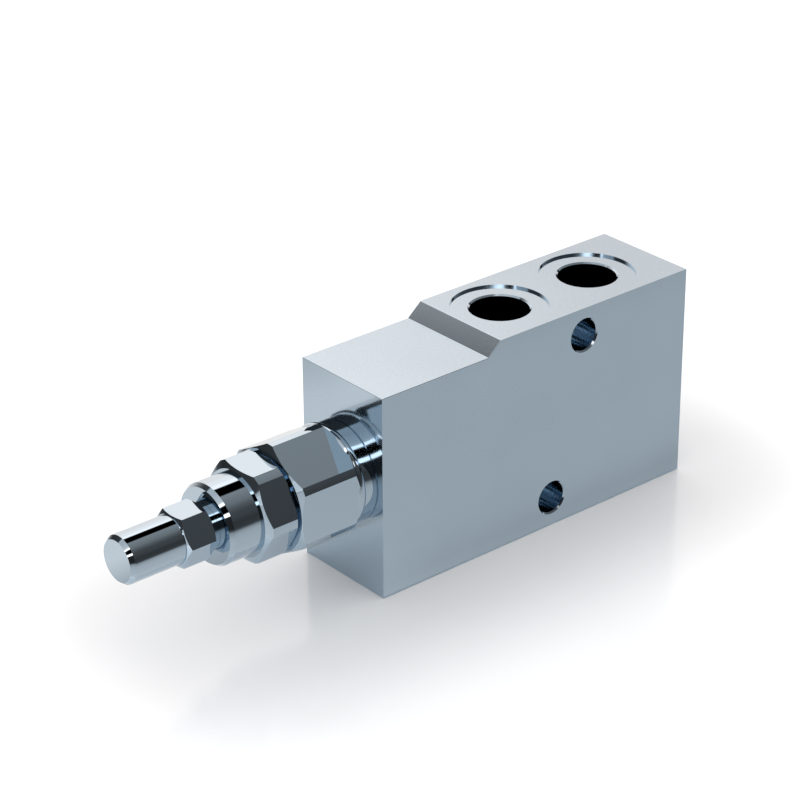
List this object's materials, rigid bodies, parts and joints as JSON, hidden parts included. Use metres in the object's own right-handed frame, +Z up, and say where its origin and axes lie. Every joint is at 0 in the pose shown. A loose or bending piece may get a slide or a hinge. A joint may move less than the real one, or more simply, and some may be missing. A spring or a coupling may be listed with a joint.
{
  "type": "counterbalance valve",
  "caption": "Steel counterbalance valve block with threaded ports and a plated cartridge whose hex adjusting screw and lock nut stick out of one end.",
  "frame": {"origin": "centre of the block's bottom face", "axes": "+Z up, +X along the block away from the cartridge, the cartridge's axis along -X, -Y the face that the picture shows"},
  "size_m": [0.168, 0.03, 0.058],
  "materials": {
    "block_steel": "satin plated steel",
    "plated_steel": "bright nickel plate",
    "cage_steel": "turned steel",
    "hard_steel": "ground and polished steel",
    "spring_steel": "oiled spring wire",
    "seal_rubber": "nitrile rubber",
    "backup_plastic": "white low friction plastic"
  },
  "bodies": {
    "valve": {"valve_block": "block_steel", "cartridge_body": "plated_steel", "cage": "cage_steel", "poppet_guide": "cage_steel", "sleeve_stop_ring": "spring_steel", "piston_retaining_ring": "spring_steel", "pilot_orifice": "cage_steel", "main_spring": "spring_steel", "check_spring": "spring_steel", "flange_o_ring": "seal_rubber", "rear_o_ring": "seal_rubber", "rear_backup_ring": "backup_plastic", "middle_o_ring": "seal_rubber", "middle_backup_ring": "backup_plastic", "nose_o_ring": "seal_rubber", "nose_backup_ring": "backup_plastic"},
    "spring_feed": {"upper_spring_seat": "cage_steel", "thrust_ball": "hard_steel"},
    "screw": {"adjusting_screw": "plated_steel", "screw_o_ring": "seal_rubber"},
    "nut_feed": {"lock_nut_seal": "seal_rubber"},
    "nut": {"lock_nut": "plated_steel"},
    "pilot": {"pilot_piston": "hard_steel", "piston_seal": "seal_rubber"},
    "main_poppet": {"poppet": "hard_steel", "lower_spring_seat": "cage_steel"},
    "check": {"check_sleeve": "hard_steel"}
  },
  "joints": [
    {"name": "spring_feed_slide", "type": "slide", "parent": "valve", "child": "spring_feed", "axis": [1, 0, 0], "range_m": [-0.00375, 0.0005], "deforming": ["main_spring"]},
    {"name": "screw_turn", "type": "hinge", "parent": "spring_feed", "child": "screw", "pos_m": [-0.08, 0, 0.0295], "axis": [1, 0, 0], "range_deg": [-901, 121]},
    {"name": "nut_feed_slide", "type": "slide", "parent": "valve", "child": "nut_feed", "axis": [-1, 0, 0], "range_m": [0, 0.00075]},
    {"name": "nut_turn", "type": "hinge", "parent": "nut_feed", "child": "nut", "pos_m": [-0.08, 0, 0.0295], "axis": [-1, 0, 0], "range_deg": [-1, 181]},
    {"name": "pilot_piston_slide", "type": "slide", "parent": "valve", "child": "pilot", "axis": [-1, 0, 0], "range_m": [0, 0.002], "stiffness_N_per_m": 6000, "springref_m": -0.002},
    {"name": "poppet_slide", "type": "slide", "parent": "valve", "child": "main_poppet", "axis": [-1, 0, 0], "range_m": [0, 0.002]},
    {"name": "check_sleeve_slide", "type": "slide", "parent": "valve", "child": "check", "axis": [1, 0, 0], "range_m": [0, 0.0025], "stiffness_N_per_m": 800, "springref_m": -0.002, "deforming": ["check_spring"]}
  ],
  "couplings": [
    {"joint": "screw_turn", "follows": "spring_feed_slide", "rad_per_m": 4188.8},
    {"joint": "nut_turn", "follows": "nut_feed_slide", "rad_per_m": 4188.8},
    {"joint": "poppet_slide", "follows": "pilot_piston_slide", "ratio": 1}
  ]
}
